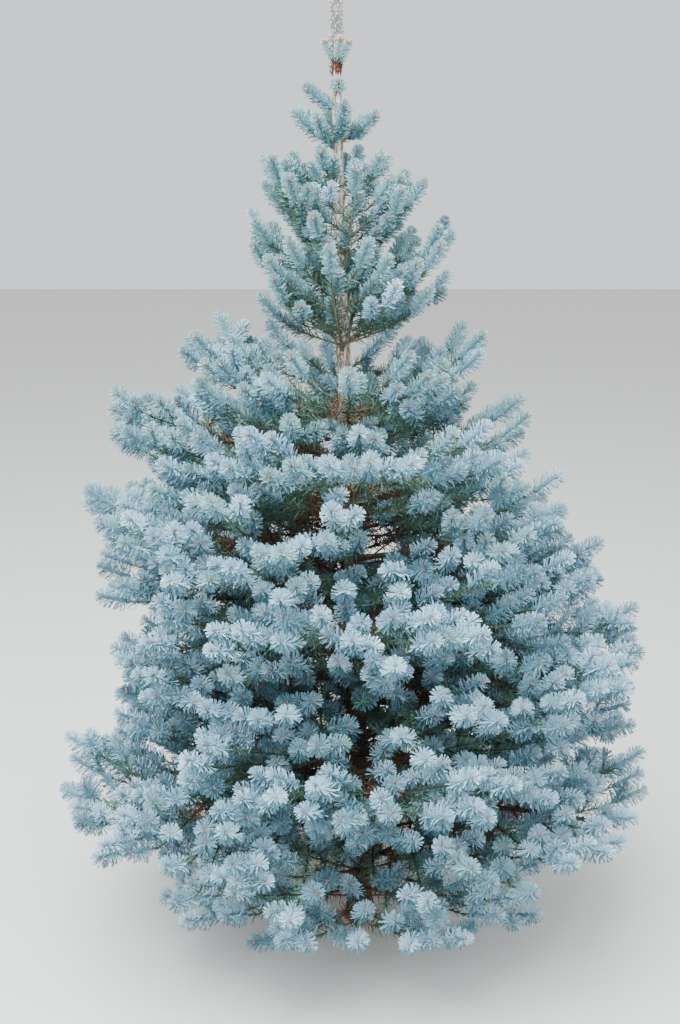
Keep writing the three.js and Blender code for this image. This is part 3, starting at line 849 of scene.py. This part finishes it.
bud_parts = []
for sprig in new_sprigs:
    tip = sprig.point(sprig.length)
    ahead = sprig.direction(sprig.length)
    across = unit(np.cross(ahead, UP) + 1e-6)
    above = np.cross(across, ahead)
    around = int(2 + 2 * chance.random())
    size = np.interp(tip[2], BUD_HEIGHTS, BUD_SIZES) + BUD_SIZE_SPREAD * chance.random()
    ring = np.interp(tip[2], BUD_HEIGHTS, BUD_RINGS)
    turns = [FULL_TURN * (i / around + chance.random() * 0.2) for i in range(around)]
    for away, turn, big in [(0, 0, 1.25)] + [(ring, turn, 1.0) for turn in turns]:
        out = across * math.cos(turn) + above * math.sin(turn)
        way = unit(ahead + out * away * 0.25)
        origin = tip + out * away + ahead * (2.2 if away == 0 else 0.8)
        bud_parts.append(bud_at(origin, way, UP, size * big, size * big * BUD_SLIMNESS))
buds = joined("buds", bud_shape, bud_parts, bud_finish)

# %% [markdown]
# ## Twig wood
# A twig's wood is a slim tube. The fine ones are hidden in needles, so a three-sided sleeve is enough, and
# one sleeve is copied to every internode of last year.

# %% Fine twigs
def sleeve_shape(sides, foot, tip):
    """An open tube of length 1 up its z axis."""
    shape = bmesh.new()
    rise = Matrix.Translation((0, 0, 0.5))
    bmesh.ops.create_cone(
        shape, cap_ends=False, segments=sides, radius1=foot, radius2=tip, depth=1, matrix=rise
    )
    return prototype(shape)


def sleeves(some_sprigs, thickness):
    parts = []
    for sprig in some_sprigs:
        low, high = sprig.point([0, sprig.length])
        way = unit(high - low)
        side = unit(np.cross(way, UP) + 1e-6)
        radius = sprig.radius * thickness
        sizes = np.array([[radius, radius, np.linalg.norm(high - low)]])
        parts.append((low[None], side[None], np.cross(way, side)[None], way[None], sizes))
    return parts


twig_parts = sleeves([s for s in sprigs if s.kind == OLD], 1)
fine_twigs = joined("fine_twigs", sleeve_shape(3, 1.1, 0.8), twig_parts, twig_finish)

# %% [markdown]
# ### Feet of the young needles
# The feet of the young needles are so crowded that no twig shows between them. A thicker, five-sided sleeve
# stands for them. It takes the darker painted-shade tint and closes the brush from inside, so the gaps
# between the needles are filled with painted shade.

# %% Feet of the young needles
FEET_THICKNESS = 4.2  # times the twig

feet_parts = sleeves(new_sprigs, FEET_THICKNESS)
# the sleeves take the painted-shade tint
needle_feet_painted_shade = joined("needle_feet_painted_shade", sleeve_shape(5, 1, 0.7), feet_parts, blue_finishes[PAINTED_SHADE_TINT])

# %% [markdown]
# ## Bark
# Bark is made as a sheet that is rolled round the wood: a bmesh grid whose length runs up the stem and
# whose width goes once round it. Noise then pushes its points in and out.

# %% Rolled bark
def bark_tube(centre_at, radius_at, length, around, along, relief):
    """Rolls a grid round a curve. relief(points, s, angle) gives how far each point stands out, in mm."""
    shape = bmesh.new()
    bmesh.ops.create_grid(shape, x_segments=around, y_segments=along, size=0.5)
    share = np.array([v.co.y + 0.5 for v in shape.verts])
    angle = np.array([(v.co.x + 0.5) * 2 * math.pi for v in shape.verts])
    centre = centre_at(share * length)
    ahead = centre_at(share * length + 1) - centre_at(share * length - 1)
    ahead /= np.linalg.norm(ahead, axis=1, keepdims=True)
    upright = ahead[0] @ UP > 0.9
    ahead = np.tile(UP, (len(share), 1)) if upright else ahead
    normal = np.cross(np.array([0.0, 1.0, 0.0]) if upright else UP, ahead)
    normal /= np.linalg.norm(normal, axis=1, keepdims=True)
    side = np.cross(ahead, normal)
    out = side * np.cos(angle)[:, None] + normal * np.sin(angle)[:, None]
    base = centre + out * radius_at(share * length, angle)[:, None]
    push = relief(base, share * length, angle)
    for v, p in zip(shape.verts, (base + out * push[:, None]) * 0.001):
        v.co = p
    bmesh.ops.remove_doubles(shape, verts=shape.verts[:], dist=1e-6)
    rims = [e for e in shape.edges if e.is_boundary]
    bmesh.ops.holes_fill(shape, edges=rims, sides=0)
    bmesh.ops.recalc_face_normals(shape, faces=shape.faces[:])
    return shape


def noise_at(points, scale, seed):
    """Blender's own noise at each point, with one scale for each axis."""
    stretched = points * np.asarray(scale) + seed
    return np.array([noise.noise(Vector(p)) for p in stretched])


def finished(name, shape, finish):
    mesh = bpy.data.meshes.new(name)
    shape.to_mesh(mesh)
    shape.free()
    for face in mesh.polygons:
        face.use_smooth = True
    return placed(name, mesh, finish)


# %% [markdown]
# ## Bark finish
# The bark of the foot is dark, grey-brown and finely cracked. Further up it is younger: smooth, pale and
# pinkish, with greenish streaks where it splits lengthwise. A ramp on the height above the ground gives
# both, and a group for streaks makes cracks that are long up the stem.

# %% Streaks and bark
BARK_ROUGHNESS = 0.85

streaks, streaks_in, streaks_out = new_group(
    "bark streaks",
    [("Scale", "NodeSocketFloat", 60.0), ("Stretch", "NodeSocketFloat", 0.18)],
    [("Mask", "NodeSocketFloat", None), ("Height", "NodeSocketFloat", None)],
)
spot = node(streaks, "ShaderNodeTexCoord")
squeeze = node(streaks, "ShaderNodeCombineXYZ", X=1.0, Y=1.0)
stretched = node(streaks, "ShaderNodeVectorMath", operation="MULTIPLY")
cracks = node(streaks, "ShaderNodeTexNoise", Detail=5.0, Roughness=0.7)
centred = node(streaks, "ShaderNodeMath", operation="SUBTRACT")
centred.inputs[1].default_value = 0.5
line = node(streaks, "ShaderNodeMath", operation="ABSOLUTE")
edges = node(streaks, "ShaderNodeMapRange", **{"From Min": 0.01, "From Max": 0.06})
wire(
    streaks,
    (spot, "Object", stretched, 0),
    (streaks_in, "Stretch", squeeze, "Z"),
    (squeeze, "Vector", stretched, 1),
    (stretched, "Vector", cracks, "Vector"),
    (streaks_in, "Scale", cracks, "Scale"),
    (cracks, "Fac", centred, 0),
    (centred, "Value", line, 0),
    (line, "Value", edges, "Value"),
    (edges, "Result", streaks_out, "Mask"),
    (edges, "Result", streaks_out, "Height"),
)


def height_ramp(tree, stops):
    """A colour that follows the height above the ground, from (metres, colour) pairs."""
    top = TREE_HEIGHT / 1000
    spot = node(tree, "ShaderNodeTexCoord")
    parts = node(tree, "ShaderNodeSeparateXYZ")
    share = node(tree, "ShaderNodeMapRange", **{"From Min": 0.0, "From Max": top})
    ramp = node(tree, "ShaderNodeValToRGB")
    wire(
        tree,
        (spot, "Object", parts, "Vector"),
        (parts, "Z", share, "Value"),
        (share, "Result", ramp, "Fac"),
    )
    while len(ramp.color_ramp.elements) < len(stops):
        ramp.color_ramp.elements.new(0.5)
    for element, (z, code) in zip(ramp.color_ramp.elements, stops):
        element.position = z / top
        element.color = linear(code)
    return ramp


def bark_material(name, stops, crack_stops, scale, stretch, depth):
    material, tree, shader = new_material(name, BARK_ROUGHNESS)
    skin, crack = height_ramp(tree, stops), height_ramp(tree, crack_stops)
    group = node(tree, "ShaderNodeGroup", node_tree=streaks)
    group.inputs["Scale"].default_value = scale
    group.inputs["Stretch"].default_value = stretch
    mix = node(tree, "ShaderNodeMix", data_type="RGBA")
    bump = node(tree, "ShaderNodeBump", Strength=0.7, Distance=depth)
    wire(
        tree,
        (group, "Mask", mix, "Factor"),
        (crack, "Color", mix, "A"),
        (skin, "Color", mix, "B"),
        (mix, "Result", shader, "Base Color"),
        (group, "Height", bump, "Height"),
        (bump, "Normal", shader, "Normal"),
    )
    return material


trunk_finish = bark_material(
    "trunk bark",
    [(0.0, "4c413b"), (0.5, "63544a"), (0.95, "a68e7c"), (1.3, "dac8bb"), (1.85, "ebdcd2")],
    [(0.0, "251e1b"), (0.5, "332a24"), (0.95, "4b4132"), (1.3, "5f5a3c"), (1.85, "77744a")],
    scale=130.0,
    stretch=0.16,
    depth=0.0014,
)
limb_finish = bark_material(
    "limb bark",
    [(0.0, "453a32"), (0.6, "534a3b"), (1.1, "75684f"), (1.4, "94846a"), (1.85, "a38d76")],
    [(0.0, "2a221c"), (0.6, "383127"), (1.1, "504a36"), (1.4, "666044"), (1.85, "77705a")],
    scale=110.0,
    stretch=0.5,
    depth=0.0006,
)

# %% [markdown]
# ## Trunk
# The trunk spreads into low lobes where its roots begin. Old bark is cut by fissures and young bark is
# swollen and smooth. Both are pushed into the mesh itself, so that they also show in outline.

# %% Trunk
YOUNG_BARK_HEIGHTS = (900, 1300, 1650, 1740)
YOUNG_BARK = (0, 2.3, 2.3, 0.8)  # how thick the corky young bark stands on the wood there


def trunk_skin_radius(z, angle):
    lobes = 0.75 + 0.25 * np.cos(FLARE_LOBES * angle + 0.8)
    flare = FLARE * lobes * np.exp(-z / FLARE_HEIGHT)
    return trunk_radius(z) + flare + np.interp(z, YOUNG_BARK_HEIGHTS, YOUNG_BARK)


def trunk_relief(points, z, angle):
    coarse = noise_at(points, (0.09, 0.09, 0.02), 3.1)
    fissures = noise_at(points, (0.32, 0.32, 0.06), 11.7)
    lumps = noise_at(points, (0.12, 0.12, 0.1), 29.3)
    old = np.clip(1.25 - z / 900, 0.15, 1)
    girth = trunk_radius(z)
    return girth * (0.05 * coarse + 0.035 * lumps) - old * 1.3 * np.clip(1 - 5 * np.abs(fissures), 0, 1)


trunk_mesh = bark_tube(trunk_axis, trunk_skin_radius, TRUNK_TOP, 56, 520, trunk_relief)
trunk = finished("trunk_bark", trunk_mesh, trunk_finish)

# %% [markdown]
# ## Limbs
# A limb swells where it leaves the trunk and tapers to the last fork. Its bare part is the bough, and its
# outer part is the stem of the fan. One tube makes both, so no joint shows.

# %% Limbs and side twigs
def limb_wood(limb):
    begin = float(trunk_radius(limb.foot[2])) * 0.6
    end = limb.stem.a + limb.stem.length
    swell = limb.radius * 0.3

    def centre_at(s):
        return limb.point(begin + s, np.zeros_like(s))

    def radius_at(s, angle):
        thin = limb.radius * (1 - (1 - TIP_SHARE) * (begin + s) / limb.length)
        return thin + swell * np.exp(-s / 18)

    def relief(points, s, angle):
        bulges = limb.radius * 0.09 * noise_at(points, (0.2, 0.2, 0.2), 5.0)
        return bulges + 0.25 * noise_at(points, (0.7, 0.7, 0.7), 8.0)

    along = max(4, int((end - begin) / 7))
    return bark_tube(centre_at, radius_at, end - begin, 10, along, relief)


def twig_wood(twig):
    def radius_at(s, angle):
        return twig.radius + (twig.tip - twig.radius) * s / twig.length

    def relief(points, s, angle):
        return 0.12 * noise_at(points, (0.5, 0.5, 0.5), 2.0)

    return bark_tube(twig.point, radius_at, twig.length, 5, max(2, int(twig.length / 25)), relief)


def merged(shapes):
    whole = bmesh.new()
    for shape in shapes:
        mesh = bpy.data.meshes.new("part")
        shape.to_mesh(mesh)
        shape.free()
        whole.from_mesh(mesh)
        bpy.data.meshes.remove(mesh)
    return whole


boughs = finished("bough_bark", merged(limb_wood(limb) for limb in limbs if limb.whorl["bough"]), limb_finish)
thin_limbs = [limb for limb in limbs if not limb.whorl["bough"]]
stems = finished("stem_bark", merged(limb_wood(limb) for limb in thin_limbs), limb_finish)
all_twigs = [twig for limb in limbs for twig in [*limb.twigs, *limb.fine_twigs]]
side_twigs = finished("side_twigs", merged(twig_wood(twig) for twig in all_twigs), limb_finish)

# %% [markdown]
# ## Leader
# The leader carries the trunk on upwards. It bristles with short, stiff needles and rows of buds. Four
# slim shoots stand round its foot above a sleeve of rust-coloured scales, and one rosette sits below
# them.

# %% Leader
LEADER_FOOT = 1700
LEADER_BRUSH_FROM = 66  # above that foot
LEADER_SHOOTS = 4
LEADER_SHOOT_START = 24
LEADER_SHOOT_LENGTH = 46
LEADER_SHOOT_PITCH = 60
LEADER_SHOOT_TURN = 195
LEADER_ROSETTE_TURN = 276
LEADER_ROSETTE_PITCH = 26
LEADER_ROSETTE_LENGTH = 21
LEADER_ROSETTE_DROP = 14  # how far below the leader's foot the single rosette sits
LEADER_NEEDLE = 16
LEADER_NEEDLES = 300
LEADER_SHOOT_NEEDLE = 10.5
LEADER_SHOOT_NEEDLES = 230
LEADER_ROSETTE_NEEDLES = 190
LEADER_BUD_ROWS = 12
LEADER_BUDS_IN_ROW = 5
LEADER_SHOOT_BUDS = 12
LEADER_BUD = (2.8, 4.2)  # width and length
LEADER_SCALES = 90
LEADER_SCALES_FROM = 8
LEADER_SCALES_TO = 38


def towards(azimuth, pitch):
    azimuth, pitch = math.radians(azimuth), math.radians(pitch)
    level = math.cos(pitch)
    return np.array([math.cos(azimuth) * level, math.sin(azimuth) * level, math.sin(pitch)])


lean = unit(trunk_axis(TREE_HEIGHT) - trunk_axis(LEADER_FOOT))
leader = Sprig(trunk_axis(LEADER_FOOT), lean, TREE_HEIGHT - LEADER_FOOT - 4, 0, 4.5, NEW)
ring = []
for i in range(LEADER_SHOOTS):
    way = towards(LEADER_SHOOT_TURN + 360 / LEADER_SHOOTS * i, LEADER_SHOOT_PITCH)
    start = trunk_axis(LEADER_FOOT + LEADER_SHOOT_START + 5 * (i % 2))
    ring.append(Sprig(start, way, LEADER_SHOOT_LENGTH, 0.25, 1.6, NEW))
start = trunk_axis(LEADER_FOOT - LEADER_ROSETTE_DROP)
way = towards(LEADER_ROSETTE_TURN, LEADER_ROSETTE_PITCH)
rosette = Sprig(start, way, LEADER_ROSETTE_LENGTH, 0.1, 1.6, NEW)
upright = [*ring, rosette]
print("shoots round the leader:", len(upright))

# %% Needles, scales and buds of the leader
leader_parts = [
    brush(leader, LEADER_BRUSH_FROM, leader.length, LEADER_NEEDLES, 64, 30, 0.0, LEADER_NEEDLE * 0.95, 2.2)
]
for s in ring:
    style = 54, 16, 0.05, LEADER_SHOOT_NEEDLE, 2.0, YOUNG_CROWDING
    leader_parts.append(brush(s, 4, s.length, LEADER_SHOOT_NEEDLES, *style))
style = 74, 14, 0.05, LEADER_NEEDLE, 2.2, YOUNG_CROWDING
leader_parts.append(brush(rosette, 5, rosette.length, LEADER_ROSETTE_NEEDLES, *style))
leader_needles = joined("leader_needles", young_needle, leader_parts, blue_finishes[SEA_GREEN])

style = 34, 26, 0.0, 12, 3.4
foot, side, way, face, sizes = brush(leader, LEADER_SCALES_FROM, LEADER_SCALES_TO, LEADER_SCALES, *style)
radial = way - np.outer(way @ lean, lean)
radial /= np.linalg.norm(radial, axis=1, keepdims=True)
scale_part = foot + radial * 6, side, way, face, sizes
leader_scales = joined("leader_scales", older_needle, [scale_part], rust_finish)

rows = np.linspace(LEADER_BRUSH_FROM, leader.length, LEADER_BUD_ROWS)
bud_places = [(leader, s, 10.5) for s in np.repeat(rows, LEADER_BUDS_IN_ROW)]
last = LEADER_SHOOT_BUDS - 1
for s in upright:
    bud_places += [(s, s.length + 4 * k / last, 1 + 5 * (last - k) / last) for k in range(LEADER_SHOOT_BUDS)]
leader_bud_parts = []
for i, (axis, s, away) in enumerate(bud_places):
    ahead = axis.direction(s)
    across = unit(np.cross(ahead, UP) + np.array([1e-3, 0, 0]))
    above = np.cross(across, ahead)
    out = across * math.cos(i * GOLDEN_ANGLE) + above * math.sin(i * GOLDEN_ANGLE)
    way = unit(ahead * 0.8 + out * 0.6)
    leader_bud_parts.append(bud_at(axis.point(s) + out * away, way, out, *LEADER_BUD))
leader_buds = joined("leader_buds", bud_shape, leader_bud_parts, bud_finish)

# %% Wood of the leader
def leader_axis(s):
    return trunk_axis(LEADER_FOOT + np.asarray(s, float))


def leader_radius(s, angle):
    return trunk_skin_radius(LEADER_FOOT + s, angle) * (1 - 0.4 * s / leader.length)


def leader_relief(points, s, angle):
    return trunk_relief(points, LEADER_FOOT + s, angle)


def shoot_tube(axis, foot_radius, tip_radius):
    def radius_at(s, angle):
        return foot_radius + (tip_radius - foot_radius) * s / axis.length

    return bark_tube(axis.point, radius_at, axis.length, 7, 8, lambda points, s, angle: np.zeros(len(s)))


wood = [bark_tube(leader_axis, leader_radius, leader.length - 10, 40, 60, leader_relief)]
wood += [shoot_tube(s, 2.2, 1.5) for s in upright]
leader_wood = finished("leader_wood", merged(wood), trunk_finish)

# %% [markdown]
# ## Riding on the frame
# The tree is one rigid body. Each piece rides on it, and the solids that the pieces stand for are hidden.

# %% Frame table
crown = [*blue_needles, *green_needles, dead_needles, needle_feet_painted_shade, buds, fine_twigs, side_twigs, stems]
crown += [leader_needles, leader_buds, leader_scales]
for piece in [*crown, leader_wood, boughs, trunk]:
    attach(piece, "root")
for piece in crown:
    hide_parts(*foliage_nodes)
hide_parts("leader_shoots")
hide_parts(*bough_nodes)
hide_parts("trunk")
print("pieces:", len(crown) + 3)

# %% [markdown]
# ## Floor and light
# A plain pale floor, a pale sky and three soft panels stand for an overcast day: a large panel above the
# tree, a weak one at its right side, and one behind the camera that lights the near shoots.

# %% Stage
floor_mesh = bmesh.new()
bmesh.ops.create_grid(floor_mesh, x_segments=8, y_segments=8, size=14)
floor_finish, floor_tree, floor_shader = new_material("pale floor", 0.9)
floor_shader.inputs["Base Color"].default_value = linear("d9d6d0")
floor = finished("floor", floor_mesh, floor_finish)

world = bpy.data.worlds.new("sky")
world.use_nodes = True
world.node_tree.nodes["Background"].inputs["Color"].default_value = (0.86, 0.9, 0.95, 1)
world.node_tree.nodes["Background"].inputs["Strength"].default_value = 1.22
bpy.context.scene.world = world


def soft_light(name, place, target, size, power):
    data = bpy.data.lights.new(name, "AREA")
    data.size = size
    data.energy = power
    data.color = (0.85, 0.93, 1.0)
    made = bpy.data.objects.new(name, data)
    made.location = place
    made.rotation_euler = (Vector(target) - Vector(place)).to_track_quat("-Z", "Y").to_euler()
    bpy.context.scene.collection.objects.link(made)


soft_light("sky panel", (-0.8, -1.4, 4.4), (0, 0, 0.9), 3.4, 620)
soft_light("side panel", (3.4, -1.8, 2.4), (0, 0, 0.9), 2.0, 65)
soft_light("front panel", (-1.6, -3.6, 2.9), (0, 0, 1.1), 2.4, 125)
